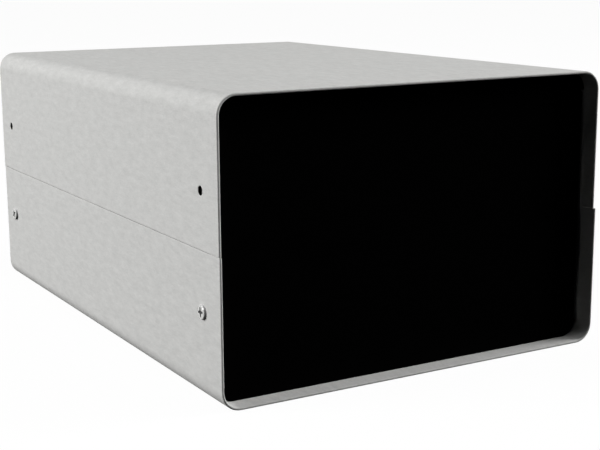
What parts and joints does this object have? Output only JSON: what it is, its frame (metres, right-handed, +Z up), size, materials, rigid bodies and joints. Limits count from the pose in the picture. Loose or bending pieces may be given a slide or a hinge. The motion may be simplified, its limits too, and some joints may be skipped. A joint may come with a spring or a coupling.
{
  "type": "steel instrument enclosure",
  "caption": "Free-standing sheet-steel instrument case of two folded U-shaped covers with broad bends, closed on recessed flat end panels and held by side screws.",
  "frame": {"origin": "under the middle of the lower cover, on the plane the case stands on", "axes": "+Z up, the front end faces -Y, +X to the right seen from the front"},
  "size_m": [0.2082, 0.2842, 0.1333],
  "materials": {
    "grey_paint": "light grey powder coat, fine texture, satin",
    "black_paint": "matt black paint",
    "plated_screw": "bright nickel plate",
    "plated_nut": "zinc plate"
  },
  "bodies": {
    "root": {"bottom_cover": "grey_paint", "top_cover": "grey_paint", "front_panel": "black_paint", "rear_panel": "black_paint", "screw_front_left": "plated_screw", "screw_front_right": "plated_screw", "screw_rear_left": "plated_screw", "screw_rear_right": "plated_screw", "nut_front_left_lower": "plated_nut", "nut_front_left_upper": "plated_nut", "nut_front_right_lower": "plated_nut", "nut_front_right_upper": "plated_nut", "nut_rear_left_lower": "plated_nut", "nut_rear_left_upper": "plated_nut", "nut_rear_right_lower": "plated_nut", "nut_rear_right_upper": "plated_nut"}
  },
  "joints": []
}
